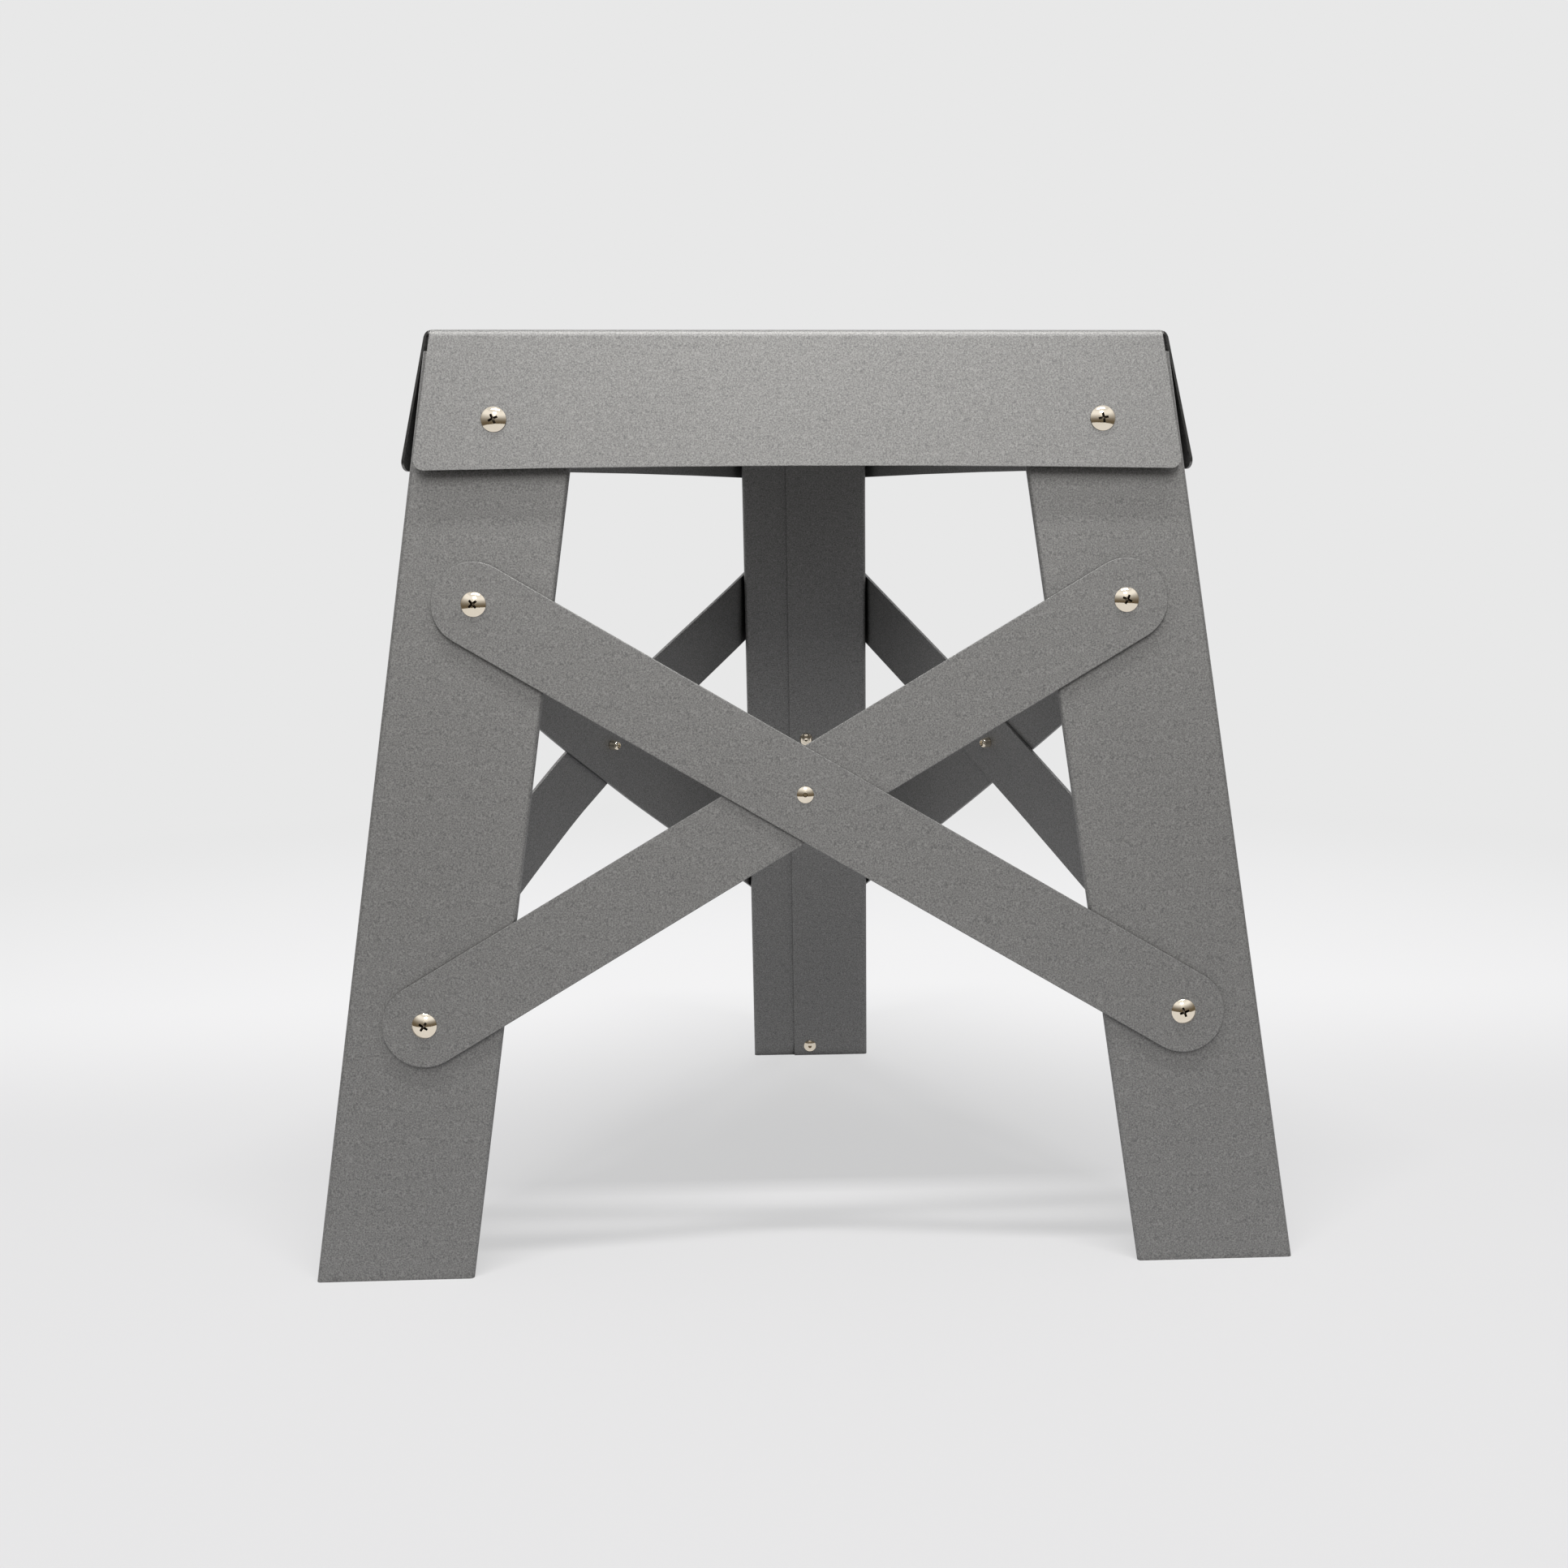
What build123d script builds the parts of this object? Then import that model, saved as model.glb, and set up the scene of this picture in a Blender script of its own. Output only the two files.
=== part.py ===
from build123d import *
import os
from math import atan, cos, hypot, radians, sin, sqrt, tan

# A three-legged sheet-metal stool: a folded triangular top, three folded tube legs, two crossed
# flat braces on each side, and the screws, rivet nuts and blind rivets that hold them together.
# Millimetres and degrees. +Z is up, the floor is Z = 0, and the front side faces -Y.

# Overall form
HEIGHT = 450.0  # floor to the top of the seat
FLOOR_INRADIUS = 137.5  # stool axis to the legs' outer faces, at the floor
SIDE_TILT = 4.56  # lean of those faces from upright

# Legs: triangular tubes, lapped on the face that looks at the stool's axis
LEG_FACE = 79.5  # width of a face from fold to fold, in a level section
LEG_SHEET = 1.5
LEG_BEND = 2.0  # outside radius of the folds
LEG_TOP_DROP = 10.0  # top of the seat to the leg's upper end
SEAM_LAP = 21.0  # width over which the two inner flanges lie on each other
SEAM_GAP = 0.1  # between the two lapped layers

# Top panel
TOP_SHEET = 1.5
TOP_BEND = 4.0  # outside radius of the three bends
FLANGE_DROP = 65.5  # top of the seat to the flange's lower edge, at its ends
FLANGE_ARCH = 1.8  # rise of the lower edge at its middle
FLANGE_TILT = 9.5  # lean of a flange from upright
FLANGE_GAP = 1.3  # leg's upper end to the flange's inner face
FLANGE_SETBACK = 4.0  # flange's end short of the leg's corner line
FLANGE_CORNER = 5.0  # radius of the lower corners
CORNER_RELIEF = 2.0  # radius of the relief where two bends meet

# Braces: flat bars with round ends, sprung apart where they cross
BRACE_WIDTH = 40.0
BRACE_SHEET = 2.0
BRACE_PAD = 15.0  # flat length from an end screw towards the middle
BRACE_EASE = 0.2  # share of a ramp's length that its two bends are eased over
BRACE_EDGE = 0.3  # radius that the long edges and ends are eased to
FRONT_BOW = 0.0  # how far each pair springs outwards at its rivet
RIGHT_BOW = 3.5
LEFT_BOW = 10.0

# Places of the screws and rivets on the legs
SCREW_LINE = 39.0  # level distance from a leg's corner line
FLANGE_SCREW_DROP = 42.3  # top of the seat to the flange screws
UPPER_SCREW_DROP = 127.7  # top of the seat to the braces' upper screws
LOWER_SCREW_HEIGHT = 123.4  # floor to the braces' lower screws
SEAM_RIVET_INSET = 6.8  # end of the leg to the nearest seam rivet

# Cross-recess screw with a truss head
SCREW_DIAMETER = 5.0
SCREW_LENGTH = 14.0
SCREW_HEAD = 11.8
SCREW_HEAD_HEIGHT = 2.7
SCREW_HEAD_RIM = 0.3
SCREW_POINT = 0.6  # chamfer at the tip
RECESS_SPAN = 4.9
RECESS_WING = 1.2
RECESS_DEPTH = 2.0
RECESS_ANGLE = 10.0  # taper of its walls

# Blind rivet nut
NUT_FLANGE = 9.5
NUT_FLANGE_THICKNESS = 1.0
NUT_BODY = 7.0
NUT_BULGE = 9.0
NUT_BULGE_LENGTH = 4.0
NUT_LENGTH = 13.0

# Blind rivet
RIVET_DIAMETER = 4.0
RIVET_HEAD = 8.0
RIVET_HEAD_HEIGHT = 1.5
RIVET_HEAD_RIM = 0.3
RIVET_BULB = 5.8
RIVET_BULB_LENGTH = 5.0
MANDREL_HOLE = 2.3
MANDREL_HOLE_DEPTH = 1.8
TAIL_HOLLOW = 3.2  # where the mandrel's head sits in the set tail
TAIL_HOLLOW_DEPTH = 0.8

# Clearances, on the radius
SCREW_CLEARANCE = 0.3
THREAD_CLEARANCE = 0.05
NUT_CLEARANCE = 0.05
RIVET_CLEARANCE = 0.1
OVERCUT = 1.0  # how far a hole's cut runs on past the sheet

# Directions that the sides face and that the legs stand in, about the stool's axis
FRONT_ANGLE = -90.0
REAR_ANGLE = 90.0
THIRD_ANGLE = 360.0 / 3
SIDES = {"front": FRONT_ANGLE, "right": FRONT_ANGLE + THIRD_ANGLE, "left": FRONT_ANGLE - THIRD_ANGLE}
LEGS = {"rear": REAR_ANGLE, "left": REAR_ANGLE + THIRD_ANGLE, "right": REAR_ANGLE - THIRD_ANGLE}
BOWS = {"front": FRONT_BOW, "right": RIGHT_BOW, "left": LEFT_BOW}
HANDS = {"left": -1, "right": 1}  # ends of a side, seen from outside
LEVELS = {
    "flange": HEIGHT - FLANGE_SCREW_DROP,
    "upper": HEIGHT - UPPER_SCREW_DROP,
    "lower": LOWER_SCREW_HEIGHT,
}
# How far each screw's recess is turned when it is tight
RECESS_ANGLES = {
    ("flange", "left"): 25,
    ("flange", "right"): 10,
    ("upper", "left"): 40,
    ("upper", "right"): 65,
    ("lower", "left"): 55,
    ("lower", "right"): 20,
}

# Sizes that follow from those above
TILT_TAN = tan(radians(SIDE_TILT))
LEAN = atan(2 * TILT_TAN)  # a leg's corner line leans twice as steeply, in radians
LEG_TOP = HEIGHT - LEG_TOP_DROP
LEG_DEPTH = LEG_FACE * cos(radians(30))  # corner line to the lapped face
FLANGE_TAN = tan(radians(FLANGE_TILT))
SEAM_GRIP = 2 * LEG_SHEET + SEAM_GAP  # both lapped layers
BRACE_LIFT = NUT_FLANGE_THICKNESS
AXIS_Y = -(FLOOR_INRADIUS - LEG_BEND) / 2  # puts the origin amid the footprint
REACH = 2 * FLOOR_INRADIUS  # longer than any cut needs to be


def inradius(height):
    """Distance from the stool's axis to a leg's outer face."""
    return FLOOR_INRADIUS - height * TILT_TAN


def corner_offset(height):
    """Level distance from a side's middle to a leg's corner line."""
    return sqrt(3) * inradius(height)


def screw_offset(height):
    """Level distance from a side's middle to the screws at this height."""
    return corner_offset(height) - SCREW_LINE


def up_slope(height):
    """Distance along a side's slope from the floor to this height."""
    return height / cos(radians(SIDE_TILT))


def compass(azimuth):
    """Level unit vector in a direction about the stool's axis."""
    return Vector(cos(radians(azimuth)), sin(radians(azimuth)), 0)


def axis_point(height):
    """Point of the stool's axis at this height."""
    return Vector(0, AXIS_Y, height)


def side_plane(azimuth, lift=0.0):
    """Plane of a side's leg faces: x level to the right, y up the slope, z outwards."""
    outward = compass(azimuth) * cos(radians(SIDE_TILT)) + Vector(0, 0, sin(radians(SIDE_TILT)))
    origin = axis_point(0) + compass(azimuth) * FLOOR_INRADIUS
    return Plane(origin, x_dir=compass(azimuth + 90), z_dir=outward).offset(lift)


def seam_plane(azimuth):
    """Plane of a leg's lapped face: x level, y up the leg, z towards the stool's axis."""
    origin = axis_point(0) + compass(azimuth) * (2 * FLOOR_INRADIUS - LEG_DEPTH)
    inward = compass(azimuth) * -cos(LEAN) - Vector(0, 0, sin(LEAN))
    return Plane(origin, x_dir=compass(azimuth - 90), z_dir=inward)


def seat_on(plane, x, y):
    """The same plane with its origin moved to one of its own points."""
    return Plane(plane.from_local_coords((x, y, 0)), x_dir=plane.x_dir, z_dir=plane.z_dir)


def axial_section(seat):
    """Plane through a seat's axis: x across, y out of the seat."""
    return Plane(seat.origin, x_dir=seat.x_dir, z_dir=-seat.y_dir)


def screw_spot(level, hand):
    """Place of a screw in its side's plane."""
    height = LEVELS[level]
    return HANDS[hand] * screw_offset(height), up_slope(height)


def seam_spots():
    """Places of a leg's seam rivets in its seam plane, by name."""
    heights = {
        "low": SEAM_RIVET_INSET,
        "middle": LEG_TOP / 2,
        "high": LEG_TOP - SEAM_RIVET_INSET,
    }
    return {name: (0, height / cos(LEAN)) for name, height in heights.items()}


# Top panel

TOP_INRADIUS = (
    inradius(LEG_TOP)
    + FLANGE_GAP
    + TOP_SHEET / cos(radians(FLANGE_TILT))
    - LEG_TOP_DROP * FLANGE_TAN
)  # stool axis to the corner that the seat and a flange would meet in
BEND_TANGENT = TOP_BEND * tan(radians(90 - FLANGE_TILT) / 2)
FLAT_INRADIUS = TOP_INRADIUS - BEND_TANGENT


def skirt(azimuth):
    """One bend of the top panel with the flange below it."""
    outward = compass(azimuth)
    level = compass(azimuth + 90)
    lower_edge = HEIGHT - FLANGE_DROP
    bend_start = (FLAT_INRADIUS, HEIGHT)
    bend_end = (
        TOP_INRADIUS + BEND_TANGENT * sin(radians(FLANGE_TILT)),
        HEIGHT - BEND_TANGENT * cos(radians(FLANGE_TILT)),
    )
    flange_end = (TOP_INRADIUS + FLANGE_DROP * FLANGE_TAN, lower_edge)
    with BuildPart() as piece:
        with BuildSketch(Plane(axis_point(0), x_dir=outward, z_dir=-level)):
            with BuildLine():
                TangentArc(bend_start, bend_end, tangent=(1, 0))
                Line(bend_end, flange_end)
                offset(amount=TOP_SHEET, side=Side.RIGHT)
            make_face()
        extrude(amount=corner_offset(0), both=True)
        with BuildSketch(Plane(axis_point(0), x_dir=level, z_dir=outward)) as outline:
            upper_half = corner_offset(HEIGHT) - FLANGE_SETBACK
            lower_half = corner_offset(lower_edge) - FLANGE_SETBACK
            with BuildLine():
                Polyline(
                    (-lower_half, lower_edge),
                    (-upper_half, HEIGHT),
                    (upper_half, HEIGHT),
                    (lower_half, lower_edge),
                )
                ThreePointArc(
                    (lower_half, lower_edge),
                    (0, lower_edge + FLANGE_ARCH),
                    (-lower_half, lower_edge),
                )
            make_face()
            fillet(outline.vertices().group_by(Axis.Y)[0], radius=FLANGE_CORNER)
        extrude(amount=REACH, mode=Mode.INTERSECT)
    return piece.part


skirts = [skirt(azimuth) for azimuth in SIDES.values()]
with BuildPart() as top_panel:
    with BuildSketch(Plane(axis_point(HEIGHT))):
        RegularPolygon(FLAT_INRADIUS, 3, major_radius=False, rotation=90)
    extrude(amount=-TOP_SHEET)
    add(skirts)
    with BuildSketch(Plane(axis_point(HEIGHT))):
        with PolarLocations(2 * FLAT_INRADIUS, 3, start_angle=90):
            Circle(CORNER_RELIEF)
    extrude(amount=-TOP_BEND, mode=Mode.SUBTRACT)
    for azimuth in SIDES.values():
        with BuildSketch(side_plane(azimuth)):
            with Locations(*[screw_spot("flange", hand) for hand in HANDS]):
                Circle(SCREW_DIAMETER / 2 + SCREW_CLEARANCE)
        extrude(amount=REACH, mode=Mode.SUBTRACT)


# Legs


def fold_line(inset):
    """Level section of a leg's sheet, this far inside its outer surface, with sharp folds."""
    under_depth = LEG_DEPTH - LEG_SHEET - SEAM_GAP - inset
    over_depth = LEG_DEPTH - inset
    half_angle = tan(radians(30))
    return (
        (under_depth, SEAM_LAP / 2),
        (under_depth, (2 * inset - under_depth) * half_angle),
        (2 * inset, 0),
        (over_depth, (over_depth - 2 * inset) * half_angle),
        (over_depth, -SEAM_LAP / 2),
    )


def leg(azimuth):
    """A folded tube whose level section slides along its leaning corner line."""
    corner = axis_point(0) + compass(azimuth) * (2 * FLOOR_INRADIUS)
    lean = compass(azimuth) * -sin(LEAN) + Vector(0, 0, cos(LEAN))
    outside, inside = fold_line(0), fold_line(LEG_SHEET)
    with BuildPart() as piece:
        with BuildSketch(Plane(corner, x_dir=-compass(azimuth), z_dir=(0, 0, 1))):
            with BuildLine():
                FilletPolyline(*outside, radius=LEG_BEND)
                FilletPolyline(*inside, radius=LEG_BEND - LEG_SHEET)
                Line(outside[0], inside[0])
                Line(outside[-1], inside[-1])
            make_face()
        extrude(amount=LEG_TOP / cos(LEAN), dir=lean)
        for side, hand in ((azimuth - 60, "right"), (azimuth + 60, "left")):
            with BuildSketch(side_plane(side)):
                with Locations(*[screw_spot(level, hand) for level in LEVELS]):
                    Circle(NUT_BODY / 2 + NUT_CLEARANCE)
            extrude(amount=-(LEG_SHEET + OVERCUT), mode=Mode.SUBTRACT)
        with BuildSketch(seam_plane(azimuth)):
            with Locations(*seam_spots().values()):
                Circle(RIVET_DIAMETER / 2 + RIVET_CLEARANCE)
        extrude(amount=-(SEAM_GRIP + OVERCUT), mode=Mode.SUBTRACT)
    return piece.part


# Braces


def brace_ends(run):
    """Upper and lower screw of a brace that runs down to the right (1) or left (-1)."""
    upper = Vector(-run * screw_offset(LEVELS["upper"]), up_slope(LEVELS["upper"]))
    lower = Vector(run * screw_offset(LEVELS["lower"]), up_slope(LEVELS["lower"]))
    return upper, lower


def crossing_height():
    """Distance up the slope to the point where a side's braces cross."""
    upper, lower = brace_ends(1)
    return upper.Y + (lower.Y - upper.Y) * -upper.X / (lower.X - upper.X)


def brace(azimuth, run, rise):
    """A flat bar whose middle stands out by rise from the level of its two ends."""
    upper, lower = brace_ends(run)
    across, down = abs(lower.X - upper.X), upper.Y - lower.Y
    length = hypot(across, down)
    crossing = length * abs(upper.X) / across
    middle_half = BRACE_WIDTH / 2 * across / down  # stays flat over the other brace
    base = side_plane(azimuth, BRACE_LIFT)
    strip = Plane(
        base.from_local_coords(upper),
        x_dir=base.from_local_coords(lower) - base.from_local_coords(upper),
        z_dir=base.z_dir,
    )
    ends = (-BRACE_WIDTH, length + BRACE_WIDTH)
    pads = (BRACE_PAD, length - BRACE_PAD)
    flat = (crossing - middle_half, crossing + middle_half)
    with BuildPart() as piece:
        with BuildSketch(axial_section(strip)):
            with BuildLine():
                for level in (0, BRACE_SHEET):
                    Line((ends[0], level), (pads[0], level))
                    Line((flat[0], level + rise), (flat[1], level + rise))
                    Line((pads[1], level), (ends[1], level))
                    for pad, edge in zip(pads, flat):
                        ease = BRACE_EASE * (edge - pad)
                        Bezier(
                            (pad, level),
                            (pad + ease, level),
                            (edge - ease, level + rise),
                            (edge, level + rise),
                        )
                for end in ends:
                    Line((end, 0), (end, BRACE_SHEET))
            make_face()
        extrude(amount=BRACE_WIDTH, both=True)
        with BuildSketch(strip):
            with Locations((length / 2, 0)):
                SlotCenterToCenter(length, BRACE_WIDTH)
        extrude(amount=BRACE_WIDTH, both=True, mode=Mode.INTERSECT)
        rim_edges = piece.edges()
        for direction in (strip.y_dir, strip.z_dir):
            rim_edges = rim_edges.filter_by(Axis(strip.origin, direction), reverse=True)
        fillet(rim_edges, radius=BRACE_EDGE)
        with BuildSketch(strip):
            with Locations((0, 0), (length, 0)):
                Circle(SCREW_DIAMETER / 2 + SCREW_CLEARANCE)
            with Locations((crossing, 0)):
                Circle(RIVET_DIAMETER / 2 + RIVET_CLEARANCE)
        extrude(amount=BRACE_WIDTH, both=True, mode=Mode.SUBTRACT)
    return piece.part


# Fasteners


def truss_screw(seat, turn):
    """A screw with its head on the seat and its shank behind it."""
    shank, head = SCREW_DIAMETER / 2, SCREW_HEAD / 2
    with BuildPart() as piece:
        with BuildSketch(axial_section(seat)):
            with BuildLine():
                Polyline(
                    (0, SCREW_HEAD_HEIGHT),
                    (0, -SCREW_LENGTH),
                    (shank - SCREW_POINT, -SCREW_LENGTH),
                    (shank, SCREW_POINT - SCREW_LENGTH),
                    (shank, 0),
                    (head, 0),
                    (head, SCREW_HEAD_RIM),
                )
                TangentArc((0, SCREW_HEAD_HEIGHT), (head, SCREW_HEAD_RIM), tangent=(1, 0))
            make_face()
        revolve(axis=Axis(seat.origin, seat.z_dir))
        with BuildSketch(seat.offset(SCREW_HEAD_HEIGHT)):
            Rectangle(RECESS_SPAN, RECESS_WING, rotation=turn)
            Rectangle(RECESS_WING, RECESS_SPAN, rotation=turn)
        extrude(amount=-RECESS_DEPTH, taper=RECESS_ANGLE, mode=Mode.SUBTRACT)
    return piece.part


def rivet_nut(seat):
    """A threaded sleeve with its flange on the seat and its bulge behind the leg's wall."""
    bore = SCREW_DIAMETER / 2 + THREAD_CLEARANCE
    body, bulge = NUT_BODY / 2, NUT_BULGE / 2
    bulge_end = LEG_SHEET + NUT_BULGE_LENGTH
    with BuildPart() as piece:
        with BuildSketch(axial_section(seat)):
            with BuildLine():
                Polyline(
                    (bore, NUT_FLANGE_THICKNESS),
                    (NUT_FLANGE / 2, NUT_FLANGE_THICKNESS),
                    (NUT_FLANGE / 2, 0),
                    (body, 0),
                    (body, -LEG_SHEET),
                    (bulge, -LEG_SHEET),
                    (body, -bulge_end),
                    (body, -NUT_LENGTH),
                    (bore, -NUT_LENGTH),
                    close=True,
                )
            make_face()
        revolve(axis=Axis(seat.origin, seat.z_dir))
    return piece.part


def blind_rivet(seat, grip):
    """A domed rivet on the seat, set behind sheets of this total thickness."""
    shank, head, bulb, hollow = RIVET_DIAMETER / 2, RIVET_HEAD / 2, RIVET_BULB / 2, TAIL_HOLLOW / 2
    tail = -grip - RIVET_BULB_LENGTH
    hollow_floor = tail + TAIL_HOLLOW_DEPTH
    with BuildPart() as piece:
        with BuildSketch(axial_section(seat)):
            with BuildLine():
                TangentArc((0, RIVET_HEAD_HEIGHT), (head, RIVET_HEAD_RIM), tangent=(1, 0))
                Polyline(
                    (head, RIVET_HEAD_RIM),
                    (head, 0),
                    (shank, 0),
                    (shank, -grip),
                    (bulb, -grip),
                )
                Bezier((bulb, -grip), (bulb, tail), (hollow, tail))
                Polyline(
                    (hollow, tail),
                    (hollow, hollow_floor),
                    (0, hollow_floor),
                    (0, RIVET_HEAD_HEIGHT),
                )
            make_face()
        revolve(axis=Axis(seat.origin, seat.z_dir))
        with BuildSketch(seat.offset(RIVET_HEAD_HEIGHT)):
            Circle(MANDREL_HOLE / 2)
        extrude(amount=-MANDREL_HOLE_DEPTH, mode=Mode.SUBTRACT)
    return piece.part


def flange_seat_lift():
    """Distance from a leg's face, along a flange screw, to where the screw's head bears."""
    height = LEVELS["flange"]
    flange_radius = TOP_INRADIUS + (HEIGHT - height) * FLANGE_TAN
    tilt = radians(SIDE_TILT)
    to_flange = (flange_radius - inradius(height)) / (cos(tilt) + sin(tilt) * FLANGE_TAN)
    return to_flange + SCREW_HEAD / 2 * tan(radians(FLANGE_TILT - SIDE_TILT))


# All pieces by name

pieces = {"top_panel": top_panel.part}
for name, azimuth in LEGS.items():
    pieces[f"{name}_leg"] = leg(azimuth)
    for place, spot in seam_spots().items():
        seam_seat = seat_on(seam_plane(azimuth), *spot)
        pieces[f"{name}_leg_{place}_rivet"] = blind_rivet(seam_seat, SEAM_GRIP)

seat_lifts = {
    "flange": flange_seat_lift(),
    "upper": BRACE_LIFT + BRACE_SHEET,
    "lower": BRACE_LIFT + BRACE_SHEET,
}
for name, azimuth in SIDES.items():
    outer_rise = BOWS[name] + BRACE_SHEET / 2
    inner_rise = BOWS[name] - BRACE_SHEET / 2
    pieces[f"{name}_outer_brace"] = brace(azimuth, 1, outer_rise)
    pieces[f"{name}_inner_brace"] = brace(azimuth, -1, inner_rise)
    rivet_lift = BRACE_LIFT + outer_rise + BRACE_SHEET
    rivet_seat = seat_on(side_plane(azimuth, rivet_lift), 0, crossing_height())
    pieces[f"{name}_brace_rivet"] = blind_rivet(rivet_seat, 2 * BRACE_SHEET)
    for level in LEVELS:
        for hand in HANDS:
            spot = screw_spot(level, hand)
            screw_seat = seat_on(side_plane(azimuth, seat_lifts[level]), *spot)
            turn = RECESS_ANGLES[level, hand]
            pieces[f"{name}_{level}_screw_{hand}"] = truss_screw(screw_seat, turn)
            pieces[f"{name}_{level}_nut_{hand}"] = rivet_nut(seat_on(side_plane(azimuth), *spot))

os.makedirs("parts", exist_ok=True)
for name, piece in pieces.items():
    piece.label = name
    export_step(piece, f"parts/{name}.step")
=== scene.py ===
import logging
from dataclasses import dataclass
from enum import Enum
from math import cos, radians, sin

import bpy
from mathutils import Matrix, Vector

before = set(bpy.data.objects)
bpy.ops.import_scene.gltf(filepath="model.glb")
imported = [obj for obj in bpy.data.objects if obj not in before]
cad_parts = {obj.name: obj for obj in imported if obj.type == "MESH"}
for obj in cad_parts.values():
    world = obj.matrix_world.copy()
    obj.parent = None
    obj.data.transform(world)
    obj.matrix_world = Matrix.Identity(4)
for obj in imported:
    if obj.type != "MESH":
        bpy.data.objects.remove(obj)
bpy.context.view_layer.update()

MM = 0.001
WHITE = "#FFFFFF"
CORNER_RAYS = 8  # rays that feel for other faces in corners and recesses, where shade is painted
EDGE_RAYS = 4  # rays that feel for the next face at an edge
ROUND_SIDES = 96  # straight sides that the round floor and room are made of

# A Mix node has a set of like-named sockets for each type, so those for colours go by number
SHARE, FIRST, SECOND, MIXED = 0, 6, 7, 2
# Settings of a range that eases in and out
EASED = {"interpolation_type": "SMOOTHSTEP"}

log = logging.getLogger("stool")


class Leg(Enum):
    """Legs, by where they stand."""

    REAR = "rear"
    LEFT = "left"
    RIGHT = "right"


class Side(Enum):
    """Sides of the stool, by where they face."""

    FRONT = "front"
    RIGHT = "right"
    LEFT = "left"


class Layer(Enum):
    """Braces of a side, by which lies on the other."""

    OUTER = "outer"
    INNER = "inner"


class Level(Enum):
    """Rows of screws, from the seat down."""

    FLANGE = "flange"
    UPPER = "upper"
    LOWER = "lower"


class Hand(Enum):
    """Ends of a side, seen from outside."""

    LEFT = "left"
    RIGHT = "right"


class Place(Enum):
    """Seam rivets of a leg, by height."""

    LOW = "low"
    MIDDLE = "middle"
    HIGH = "high"


class Fastener(Enum):
    """Two halves of a screwed joint."""

    SCREW = "screw"
    NUT = "nut"


def linear(code: str) -> tuple[float, float, float, float]:
    """Turn an sRGB hex colour into a linear one.

    Args:
        code: Colour such as "#8A8A88".

    Returns:
        Red, green, blue and alpha, in linear light.
    """
    channels = [int(code[i:i + 2], 16) / 255 for i in (1, 3, 5)]
    red, green, blue = (c / 12.92 if c <= 0.04045 else ((c + 0.055) / 1.055) ** 2.4 for c in channels)
    return red, green, blue, 1.0


def add_node(
    tree: bpy.types.NodeTree,
    kind: str,
    settings: dict[str | int, object] | None = None,
    links: dict[str | int, bpy.types.NodeSocket] | None = None,
) -> bpy.types.NodeOutputs:
    """Add a shader node with its settings and links.

    Args:
        tree: Node tree that the node goes into.
        kind: Blender's name of the node's type, without "ShaderNode".
        settings: Values by property name, or by the name or number of an input.
        links: Output sockets by the name or number of the input that they feed.

    Returns:
        The new node's outputs.
    """
    node = tree.nodes.new(f"ShaderNode{kind}")
    for key, value in (settings or {}).items():
        if isinstance(key, str) and hasattr(node, key):
            setattr(node, key, value)
        else:
            node.inputs[key].default_value = value
    for key, socket in (links or {}).items():
        tree.links.new(socket, node.inputs[key])
    return node.outputs


def new_material(name: str) -> tuple[bpy.types.Material, bpy.types.NodeTree]:
    """Make a material with an empty node tree.

    Args:
        name: Name of the material.

    Returns:
        The material and its node tree.
    """
    material = bpy.data.materials.new(name)
    material.use_nodes = True
    material.node_tree.nodes.clear()
    return material, material.node_tree


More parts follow.
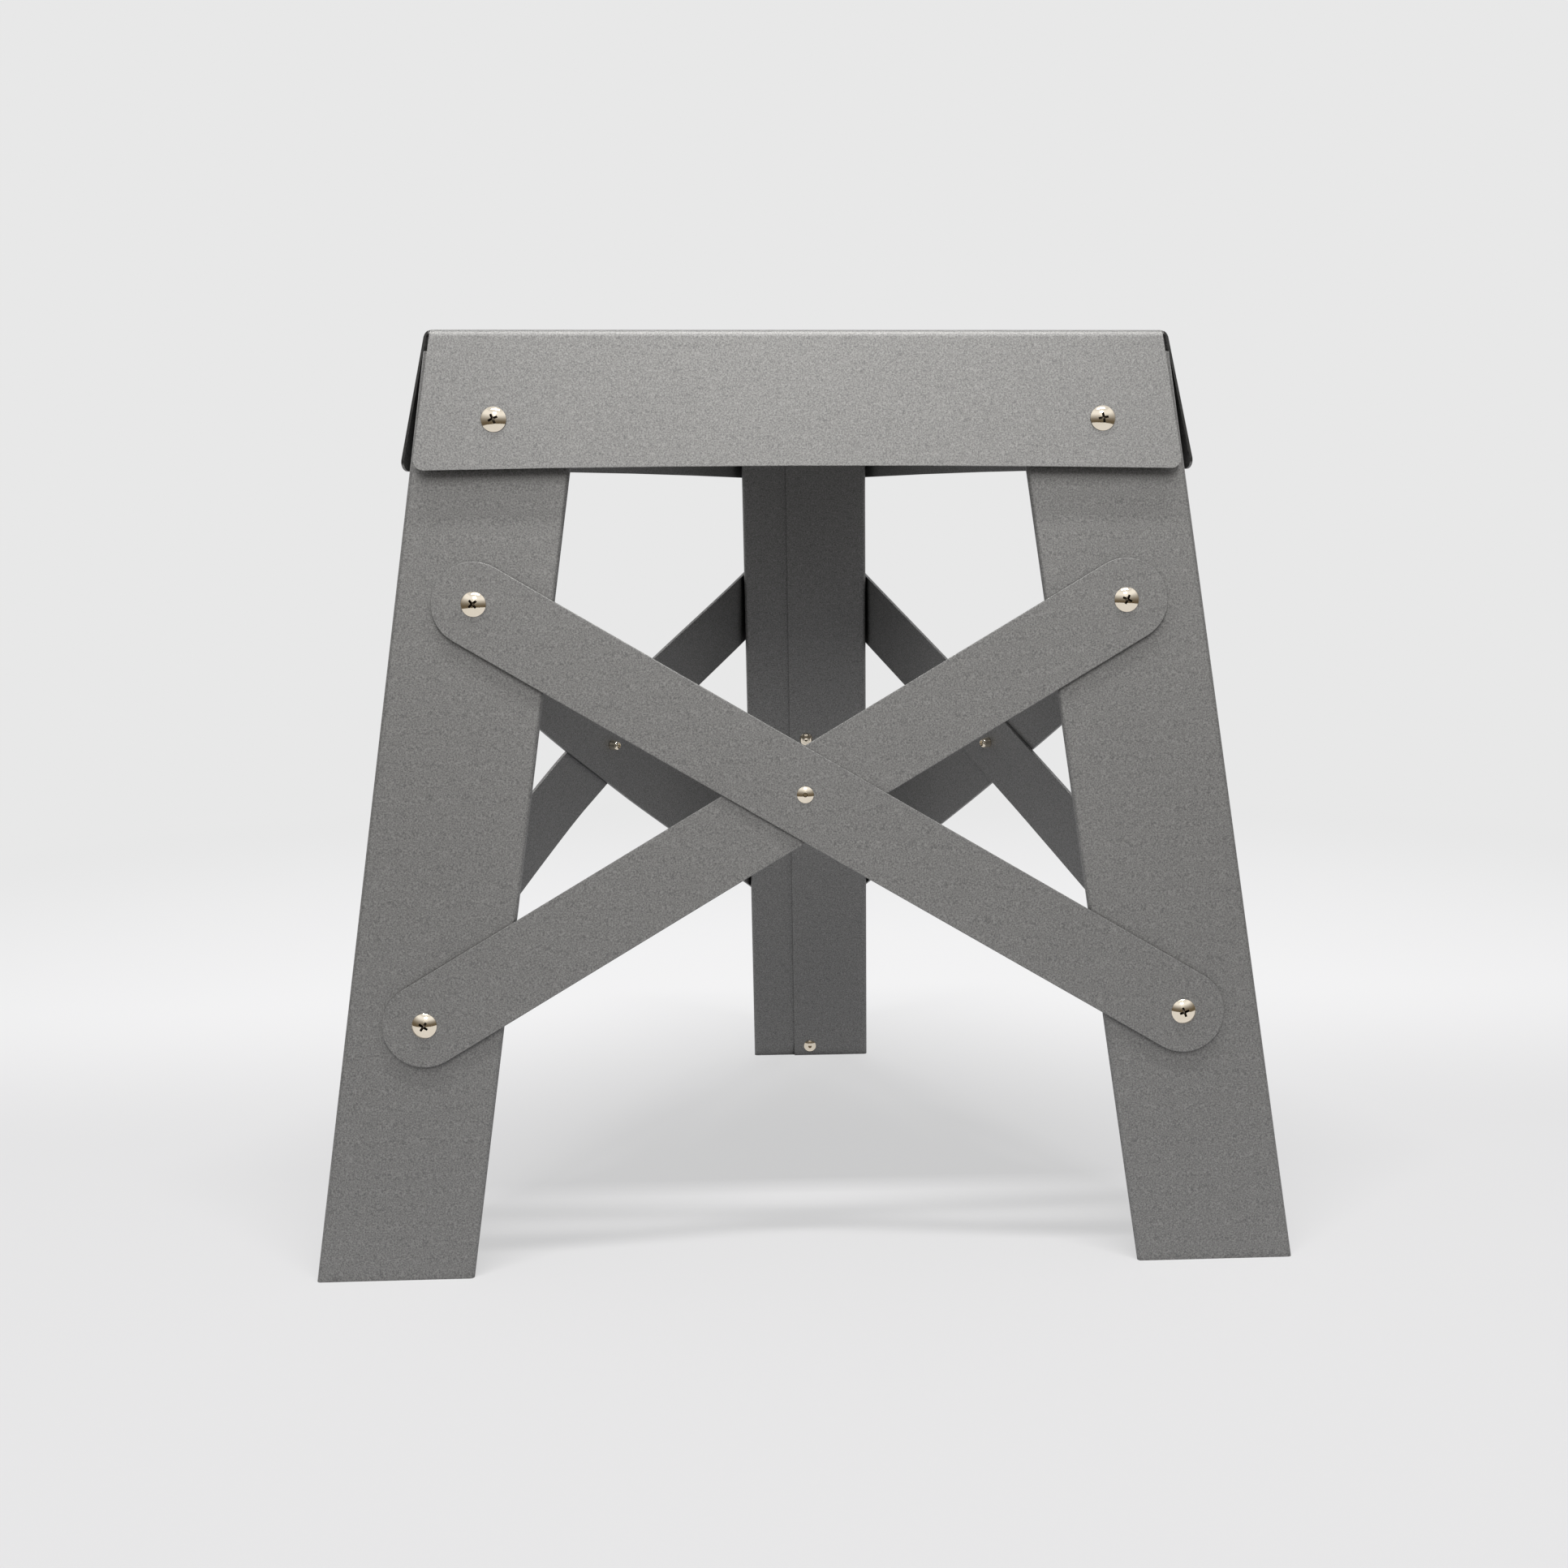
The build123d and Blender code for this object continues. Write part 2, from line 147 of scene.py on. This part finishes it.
@dataclass(frozen=True)
class PowderCoat:
    """Polyester powder coat with metal flake, sprayed and baked on steel sheet.

    The eye sees a mid grey with a fine grain of lighter and darker flecks, and a broad soft sheen
    where the face looks up towards the light. Shade is painted near black into tight corners and
    onto the flanges' cut ends.
    """

    dark: str = "#616162"
    light: str = "#8F8F8F"
    # painted shade: the near black laid into corners and onto cut ends
    painted_shade: str = "#1B1B1B"
    fleck: float = 0.65 * MM  # real flake is finer, but would be lost at this distance
    fleck_layers: float = 2.0
    fleck_range: tuple[float, float] = (0.3, 0.7)  # part of the pattern that spans dark to light
    drift: float = 90 * MM
    drift_shades: tuple[float, float] = (0.97, 1.03)
    grain: float = 0.6 * MM  # real grain is finer, but would be lost at this distance
    grain_height: float = 0.02 * MM
    grain_strength: float = 0.6
    soft_layers: float = 1.0  # of the drift and the grain
    metallic: float = 0.5
    ior: float = 1.5
    roughness: tuple[float, float] = (0.46, 0.56)
    corner_reach: float = 12 * MM
    corner_openness: tuple[float, float] = (0.56, 0.30)  # openness where the painted shade starts, and where it is full
    end_facing: tuple[float, float] = (0.92, 0.96)  # how squarely a face looks along an end's heading
    end_shade_share: float = 0.85  # of painted shade on a cut end

    def material(self, piece: str, edge_round: float, ends: tuple[float, ...] = ()) -> bpy.types.Material:
        """Build the finish for one kind of piece.

        Args:
            piece: What wears the coat, for the material's name.
            edge_round: Radius that the coat rounds the sheet's cut edges to.
            ends: Headings, in degrees from +X, of the cut ends that get painted shade.

        Returns:
            The coat's material.
        """
        material, tree = new_material(f"powder_coat_sprayed_{piece}")
        place = add_node(tree, "TexCoord")["Object"]
        flecks = {"Scale": 1 / self.fleck, "Detail": self.fleck_layers}
        fleck = add_node(tree, "TexNoise", flecks, {"Vector": place})["Fac"]
        grains = {"Scale": 1 / self.grain, "Detail": self.soft_layers}
        grain = add_node(tree, "TexNoise", grains, {"Vector": place})["Fac"]
        edge = add_node(tree, "Bevel", {"samples": EDGE_RAYS, "Radius": edge_round})["Normal"]
        relief = {"Strength": self.grain_strength, "Distance": self.grain_height}
        gloss = {"To Min": self.roughness[0], "To Max": self.roughness[1]}
        surface = {
            "Base Color": self.colour(tree, place, fleck, ends),
            "Roughness": add_node(tree, "MapRange", gloss, {"Value": fleck})["Result"],
            "Normal": add_node(tree, "Bump", relief, {"Height": grain, "Normal": edge})["Normal"],
        }
        coat = add_node(tree, "BsdfPrincipled", {"Metallic": self.metallic, "IOR": self.ior}, surface)
        add_node(tree, "OutputMaterial", {}, {"Surface": coat["BSDF"]})
        return material

    def colour(
        self,
        tree: bpy.types.NodeTree,
        place: bpy.types.NodeSocket,
        fleck: bpy.types.NodeSocket,
        ends: tuple[float, ...],
    ) -> bpy.types.NodeSocket:
        """Colour the coat: speckled, drifting a little in tone at random, with shade painted dark into
        corners and onto cut ends.

        Args:
            tree: Node tree of the coat.
            place: Socket with the point on the piece.
            fleck: Socket with the pattern of flecks.
            ends: Headings of the cut ends.

        Returns:
            A socket with the colour.
        """
        contrast = {"From Min": self.fleck_range[0], "From Max": self.fleck_range[1]}
        lightness = add_node(tree, "MapRange", contrast, {"Value": fleck})["Result"]
        greys = {"data_type": "RGBA", FIRST: linear(self.dark), SECOND: linear(self.light)}
        speckled = add_node(tree, "Mix", greys, {SHARE: lightness})[MIXED]
        clouds = {"Scale": 1 / self.drift, "Detail": self.soft_layers}
        cloud = add_node(tree, "TexNoise", clouds, {"Vector": place})["Fac"]
        shades = {"To Min": self.drift_shades[0], "To Max": self.drift_shades[1]}
        shade = add_node(tree, "MapRange", shades, {"Value": cloud})["Result"]
        shading = {"data_type": "RGBA", "blend_type": "MULTIPLY", SHARE: 1.0}
        coated = add_node(tree, "Mix", shading, {FIRST: speckled, SECOND: shade})[MIXED]
        # painted shade mixed over the coat
        shade_tone = {"data_type": "RGBA", SECOND: linear(self.painted_shade)}
        return add_node(tree, "Mix", shade_tone, {SHARE: self.painted_shade_share(tree, ends), FIRST: coated})[MIXED]

    def painted_shade_share(self, tree: bpy.types.NodeTree, ends: tuple[float, ...]) -> bpy.types.NodeSocket:
        """Find where shade is painted: in tight corners and on cut ends.

        Args:
            tree: Node tree of the coat.
            ends: Headings of the cut ends.

        Returns:
            A socket that is 0 where no shade is painted and 1 where the painted shade is full.
        """
        feeler = {"samples": CORNER_RAYS, "Distance": self.corner_reach}
        # painted shade in corners, found by feeling for faces that close in
        openness = add_node(tree, "AmbientOcclusion", feeler)["AO"]
        corner = {"From Min": self.corner_openness[0], "From Max": self.corner_openness[1]}
        shaded = add_node(tree, "MapRange", corner, {"Value": openness})["Result"]
        square = {"From Min": self.end_facing[0], "From Max": self.end_facing[1], "To Max": self.end_shade_share}
        # painted shade on the cut ends, found by which way their faces look
        for heading in ends:
            normal = add_node(tree, "NewGeometry")["True Normal"]
            line = {"operation": "DOT_PRODUCT", 1: (cos(radians(heading)), sin(radians(heading)), 0.0)}
            along = add_node(tree, "VectorMath", line, {0: normal})["Value"]
            facing = add_node(tree, "Math", {"operation": "ABSOLUTE"}, {0: along})["Value"]
            end = add_node(tree, "MapRange", square, {"Value": facing})["Result"]
            shaded = add_node(tree, "Math", {"operation": "MAXIMUM"}, {0: shaded, 1: end})["Value"]
        return shaded


@dataclass(frozen=True)
class Plating:
    """Metal plated on small steel parts: a mirror or a bloom, with a faint cloudiness.

    Shade is painted dark into recesses.
    """

    name: str
    colour: str
    clouded: str
    # painted shade: the dark laid into recesses
    painted_shade: str
    cloud: float
    roughness: tuple[float, float]
    cloud_layers: float = 3.0
    recess_openness: tuple[float, float] = (0.75, 0.45)  # openness where the painted shade starts, and where it is full

    def material(self, piece: str, reach: float) -> bpy.types.Material:
        """Build the finish for one kind of piece.

        Args:
            piece: What is plated, for the material's name.
            reach: How far off a facing wall still makes a recess.

        Returns:
            The plating's material.
        """
        material, tree = new_material(f"{self.name}_{piece}")
        place = add_node(tree, "TexCoord")["Object"]
        clouds = {"Scale": 1 / self.cloud, "Detail": self.cloud_layers}
        cloud = add_node(tree, "TexNoise", clouds, {"Vector": place})["Fac"]
        tones = {"data_type": "RGBA", FIRST: linear(self.colour), SECOND: linear(self.clouded)}
        plated = add_node(tree, "Mix", tones, {SHARE: cloud})[MIXED]
        # painted shade in recesses, found by feeling for walls that close in
        openness = add_node(tree, "AmbientOcclusion", {"samples": CORNER_RAYS, "Distance": reach})["AO"]
        hollow = {"From Min": self.recess_openness[0], "From Max": self.recess_openness[1]}
        shaded = add_node(tree, "MapRange", hollow, {"Value": openness})["Result"]
        shade_tone = {"data_type": "RGBA", SECOND: linear(self.painted_shade)}
        gloss = {"To Min": self.roughness[0], "To Max": self.roughness[1]}
        surface = {
            "Base Color": add_node(tree, "Mix", shade_tone, {SHARE: shaded, FIRST: plated})[MIXED],
            "Roughness": add_node(tree, "MapRange", gloss, {"Value": cloud})["Result"],
        }
        metal = add_node(tree, "BsdfPrincipled", {"Metallic": 1.0}, surface)
        add_node(tree, "OutputMaterial", {}, {"Surface": metal["BSDF"]})
        return material


# Warm silver that mirrors the room: pale ceiling, dim walls and pale floor.
BRIGHT_NICKEL = Plating(
    name="nickel_plated_bright",
    colour="#F4EADA",
    clouded="#EADFCB",
    # painted shade in the recesses
    painted_shade="#3A3226",
    cloud=3 * MM,
    roughness=(0.07, 0.13),
)

# Flat cold grey, hardly seen inside the legs.
DULL_ZINC = Plating(
    name="zinc_plated_dull",
    colour="#B4B6B8",
    clouded="#9FA1A0",
    # painted shade in the recesses
    painted_shade="#3C3C3C",
    cloud=1.5 * MM,
    roughness=(0.32, 0.48),
)


def fetch(names: list[str]) -> list[bpy.types.Object]:
    """Fetch imported pieces at their real shape, by name."""
    return [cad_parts[name] for name in names]


def wear(pieces: list[bpy.types.Object], material: bpy.types.Material) -> None:
    """Give pieces a finish.

    Args:
        pieces: Pieces to dress.
        material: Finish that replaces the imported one.
    """
    for piece in pieces:
        for slot in piece.material_slots:
            slot.material = material
        log.info("%s wears %s", piece.name, material.name)


@dataclass
class TopPanel:
    """Folded seat with its three flanges."""

    edge_round: float = 0.4 * MM
    flange_headings: tuple[float, ...] = (0.0, 60.0, 120.0)  # lines that the flanges run along

    def build(self) -> list[bpy.types.Object]:
        """Fetch the folded sheet."""
        return fetch(["top_panel"])

    def dress(self, coat: PowderCoat) -> None:
        """Coat the panel.

        Args:
            coat: Finish of the sheet.
        """
        wear(self.build(), coat.material("top", self.edge_round, self.flange_headings))


@dataclass
class FoldedLegs:
    """Three folded tubes with the blind rivets of their seams."""

    edge_round: float = 0.3 * MM
    rivet_reach: float = 0.8 * MM

    def build(self) -> list[bpy.types.Object]:
        """Fetch the tubes."""
        return fetch([f"{leg.value}_leg" for leg in Leg])

    def build_rivets(self) -> list[bpy.types.Object]:
        """Fetch the rivets of the seams."""
        return fetch([f"{leg.value}_leg_{place.value}_rivet" for leg in Leg for place in Place])

    def dress(self, coat: PowderCoat, plating: Plating) -> None:
        """Coat the tubes and plate their rivets.

        Args:
            coat: Finish of the sheet.
            plating: Finish of the rivets.
        """
        wear(self.build(), coat.material("leg", self.edge_round))
        wear(self.build_rivets(), plating.material("seam_rivet", self.rivet_reach))


@dataclass
class CrossedBraces:
    """Two flat bars on each side with the rivet at their crossing."""

    edge_round: float = 0.3 * MM
    rivet_reach: float = 0.8 * MM

    def build(self) -> list[bpy.types.Object]:
        """Fetch the bars."""
        return fetch([f"{side.value}_{layer.value}_brace" for side in Side for layer in Layer])

    def build_rivets(self) -> list[bpy.types.Object]:
        """Fetch the rivets of the crossings."""
        return fetch([f"{side.value}_brace_rivet" for side in Side])

    def dress(self, coat: PowderCoat, plating: Plating) -> None:
        """Coat the bars and plate their rivets.

        Args:
            coat: Finish of the bars.
            plating: Finish of the rivets.
        """
        wear(self.build(), coat.material("brace", self.edge_round))
        wear(self.build_rivets(), plating.material("brace_rivet", self.rivet_reach))


@dataclass
class Screws:
    """Cross-recess screws and the rivet nuts that they turn in."""

    screw_reach: float = 1.6 * MM
    nut_reach: float = 4.0 * MM

    def build(self, kind: Fastener) -> list[bpy.types.Object]:
        """Fetch the screws or the nuts.

        Args:
            kind: Which of them.

        Returns:
            All pieces of that kind.
        """
        return fetch([
            f"{side.value}_{level.value}_{kind.value}_{hand.value}"
            for side in Side
            for level in Level
            for hand in Hand
        ])

    def dress(self, screw_plating: Plating, nut_plating: Plating) -> None:
        """Plate the screws and nuts.

        Args:
            screw_plating: Finish of the screws.
            nut_plating: Finish of the nuts.
        """
        wear(self.build(Fastener.SCREW), screw_plating.material("screw", self.screw_reach))
        wear(self.build(Fastener.NUT), nut_plating.material("nut", self.nut_reach))


@dataclass(frozen=True)
class Lamp:
    """Soft lamp with a rectangular face."""

    name: str
    power: float
    size: tuple[float, float]
    place: tuple[float, float, float]
    aim: tuple[float, float, float] = (0.0, -0.1, 0.25)
    tint: str = "#FFFDF8"

    def build(self) -> bpy.types.Object:
        """Hang the lamp.

        Returns:
            The lamp.
        """
        data = bpy.data.lights.new(self.name, "AREA")
        data.shape = "RECTANGLE"
        data.size, data.size_y = self.size
        data.energy = self.power
        data.color = linear(self.tint)[:3]
        lamp = bpy.data.objects.new(self.name, data)
        lamp.location = self.place
        lamp.rotation_euler = (Vector(self.aim) - Vector(self.place)).to_track_quat("-Z", "Y").to_euler()
        bpy.context.collection.objects.link(lamp)
        return lamp


@dataclass
class Studio:
    """Paper floor, backdrop, light and camera, in metres, watts and degrees."""

    # Paper: its colour as the backdrop, and as the floor that takes the shadow
    paper: str = "#E8E8E8"
    # colour of the painted band of light
    pale: str = WHITE
    floor_colour: str = "#E6E6EB"
    floor_bounce: str = "#B4B4B4"  # what it throws back, less than it shows, to keep the underside dim
    floor_radius: float = 6.0
    fade: tuple[float, float] = (0.55, 1.3)  # distances between which floor turns into backdrop
    fade_shares: tuple[float, float] = (0.65, 1.0)
    sweep_start: tuple[float, float] = (-0.03, 0.31)  # depths between which the painted band of light comes up
    sweep_end: tuple[float, float] = (1.25, 0.45)  # distances where it has died away, and is still full

    # Light: a strip over the front, panels that light the stool alone, and the air
    ambient: float = 0.38
    strip: Lamp = Lamp("strip", 40.0, (1.4, 0.12), (0.0, -0.63, 2.4))
    panels: tuple[Lamp, ...] = (
        Lamp("front_panel", 40.0, (0.8, 1.6), (0.0, -2.2, 1.9)),
        Lamp("left_panel", 26.0, (0.8, 1.6), (-2.2, 1.2, 1.9)),
        Lamp("right_panel", 26.0, (0.8, 1.6), (2.2, 1.2, 1.9)),
    )

    # Room: a cone that widens upwards, dim low down in front and pale above and behind
    room_radii: tuple[float, float] = (1.2, 2.7)
    room_height: float = 4.0
    room_gap: float = 1 * MM  # off the floor
    room_rise: tuple[float, float] = (0.1, 1.7)  # heights between which it turns pale
    room_side: tuple[float, float] = (-0.2, 0.8)  # depths between which it turns to paper
    room_dark: str = "#665C4C"

    # Camera, fitted to the photograph
    eye: tuple[float, float, float] = (0.00260, -1.03036, 0.36641)
    yaw: float = 3.0007
    pitch: float = -7.8314
    roll: float = 0.2705
    lens: float = 40.914  # millimetres, as is the sensor
    sensor: float = 36.0
    shift: tuple[float, float] = (-0.07583, -0.01970)

    def build(self) -> None:
        """Set up the whole studio."""
        self.lay_floor()
        self.hang_room()
        self.strip.build()
        for panel in self.panels:
            self.flag_off_floor(panel.build())
        self.paint_world()
        self.place_camera()

    def lay_floor(self) -> None:
        """Lay the pale floor."""
        bpy.ops.object.select_all(action="DESELECT")
        bpy.ops.mesh.primitive_circle_add(vertices=ROUND_SIDES, radius=self.floor_radius, fill_type="NGON")
        floor = bpy.context.object
        floor.name = "floor"
        floor.data.materials.append(self.floor_finish())

    def floor_finish(self) -> bpy.types.Material:
        """Make the paper, which fades into the backdrop away from the stool, with a band of light painted on
        it.

        Returns:
            The floor's material.
        """
        material, tree = new_material("paper_sweep")
        place = add_node(tree, "TexCoord")["Object"]
        distance = add_node(tree, "VectorMath", {"operation": "LENGTH"}, {0: place})["Value"]
        depth = add_node(tree, "SeparateXYZ", {}, {"Vector": place})["Y"]
        shown = self.shown(tree)
        fading = EASED | {"From Min": self.fade[0], "From Max": self.fade[1]}
        fading |= {"To Min": self.fade_shares[0], "To Max": self.fade_shares[1]}
        far = add_node(tree, "MapRange", fading, {"Value": distance})["Result"]
        fade = add_node(tree, "Math", {"operation": "MULTIPLY"}, {0: far, 1: shown})["Value"]
        tones = {"data_type": "RGBA", FIRST: linear(self.floor_bounce), SECOND: linear(self.floor_colour)}
        tone = add_node(tree, "Mix", tones, {SHARE: shown})[MIXED]
        # painted light: a brighter band glows on the backdrop behind the stool
        rising = EASED | {"From Min": self.sweep_start[0], "From Max": self.sweep_start[1]}
        rise = add_node(tree, "MapRange", rising, {"Value": depth})["Result"]
        closing = EASED | {"From Min": self.sweep_end[0], "From Max": self.sweep_end[1]}
        close = add_node(tree, "MapRange", closing, {"Value": distance})["Result"]
        band = add_node(tree, "Math", {"operation": "MULTIPLY"}, {0: rise, 1: close})["Value"]
        glows = {"data_type": "RGBA", FIRST: linear(self.paper), SECOND: linear(self.pale)}
        glow = add_node(tree, "Mix", glows, {SHARE: band})[MIXED]
        lit = add_node(tree, "BsdfDiffuse", {}, {"Color": tone})["BSDF"]
        backdrop = add_node(tree, "Emission", {"Strength": 1.0}, {"Color": glow})["Emission"]
        paper = add_node(tree, "MixShader", {}, {0: fade, 1: lit, 2: backdrop})["Shader"]
        add_node(tree, "OutputMaterial", {}, {"Surface": paper})
        return material

    def shown(self, tree: bpy.types.NodeTree) -> bpy.types.NodeSocket:
        """Tell rays that show the backdrop from rays that carry light.

        Args:
            tree: Node tree that asks.

        Returns:
            A socket that is 1 for camera, glossy and transmission rays.
        """
        path = add_node(tree, "LightPath")
        larger = {"operation": "MAXIMUM"}
        through = {0: path["Is Glossy Ray"], 1: path["Is Transmission Ray"]}
        indirect = add_node(tree, "Math", larger, through)["Value"]
        return add_node(tree, "Math", larger, {0: path["Is Camera Ray"], 1: indirect})["Value"]

    def hang_room(self) -> None:
        """Hang the dim room round the paper, which only reflections show."""
        bpy.ops.object.select_all(action="DESELECT")
        bpy.ops.mesh.primitive_cone_add(
            vertices=ROUND_SIDES,
            radius1=self.room_radii[0],
            radius2=self.room_radii[1],
            depth=self.room_height,
            end_fill_type="NOTHING",
            location=(0, 0, self.room_height / 2 + self.room_gap),
        )
        room = bpy.context.object
        room.name = "room"
        room.data.materials.append(self.room_finish())
        for ray in ("camera", "diffuse", "transmission", "volume_scatter", "shadow"):
            setattr(room, f"visible_{ray}", False)

    def room_finish(self) -> bpy.types.Material:
        """Make the room's walls, whose height is counted from their middle.

        Returns:
            The walls' material.
        """
        material, tree = new_material("room_walls")
        place = add_node(tree, "TexCoord")["Object"]
        axes = add_node(tree, "SeparateXYZ", {}, {"Vector": place})
        low, high = (height - self.room_height / 2 for height in self.room_rise)
        rising = EASED | {"From Min": low, "From Max": high}
        rise = add_node(tree, "MapRange", rising, {"Value": axes["Z"]})["Result"]
        turning = EASED | {"From Min": self.room_side[0], "From Max": self.room_side[1]}
        behind = add_node(tree, "MapRange", turning, {"Value": axes["Y"]})["Result"]
        walls = {"data_type": "RGBA", FIRST: linear(self.room_dark), SECOND: linear(WHITE)}
        front = add_node(tree, "Mix", walls, {SHARE: rise})[MIXED]
        back = {"data_type": "RGBA", SECOND: linear(self.paper)}
        shade = add_node(tree, "Mix", back, {SHARE: behind, FIRST: front})[MIXED]
        glow = add_node(tree, "Emission", {"Strength": 1.0}, {"Color": shade})["Emission"]
        add_node(tree, "OutputMaterial", {}, {"Surface": glow})
        return material

    def flag_off_floor(self, lamp: bpy.types.Object) -> None:
        """Flag a lamp off the floor, so that it lights the stool alone.

        Args:
            lamp: Lamp to flag.
        """
        lit = bpy.data.collections.new(f"lit_by_{lamp.name}")
        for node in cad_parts.values():
            lit.objects.link(node)
        lamp.light_linking.receiver_collection = lit

    def paint_world(self) -> None:
        """Give the air a soft even light and the eye a pale backdrop."""
        world = bpy.data.worlds.new("studio")
        world.use_nodes = True
        tree = world.node_tree
        tree.nodes.clear()
        air = add_node(tree, "Background", {"Color": linear(WHITE), "Strength": self.ambient})["Background"]
        backdrop = add_node(tree, "Background", {"Color": linear(self.paper), "Strength": 1.0})["Background"]
        mixed = add_node(tree, "MixShader", {}, {0: self.shown(tree), 1: air, 2: backdrop})["Shader"]
        add_node(tree, "OutputWorld", {}, {"Surface": mixed})
        bpy.context.scene.world = world

    def place_camera(self) -> None:
        """Stand the camera where the photograph was taken."""
        data = bpy.data.cameras.new("camera")
        data.lens = self.lens
        data.sensor_width = self.sensor
        data.shift_x, data.shift_y = self.shift
        camera = bpy.data.objects.new("camera", data)
        turn = (
            Matrix.Rotation(radians(-self.yaw), 4, "Z")
            @ Matrix.Rotation(radians(90 + self.pitch), 4, "X")
            @ Matrix.Rotation(radians(-self.roll), 4, "Z")
        )
        camera.matrix_world = Matrix.Translation(self.eye) @ turn
        bpy.context.collection.objects.link(camera)
        bpy.context.scene.camera = camera


def main() -> None:
    """Dress the stool and set up the studio."""
    logging.basicConfig(level=logging.INFO)
    coat = PowderCoat()
    TopPanel().dress(coat)
    FoldedLegs().dress(coat, BRIGHT_NICKEL)
    CrossedBraces().dress(coat, BRIGHT_NICKEL)
    Screws().dress(BRIGHT_NICKEL, DULL_ZINC)
    Studio().build()
    bpy.context.scene.view_settings.view_transform = "Standard"


if __name__ == "__main__":
    main()
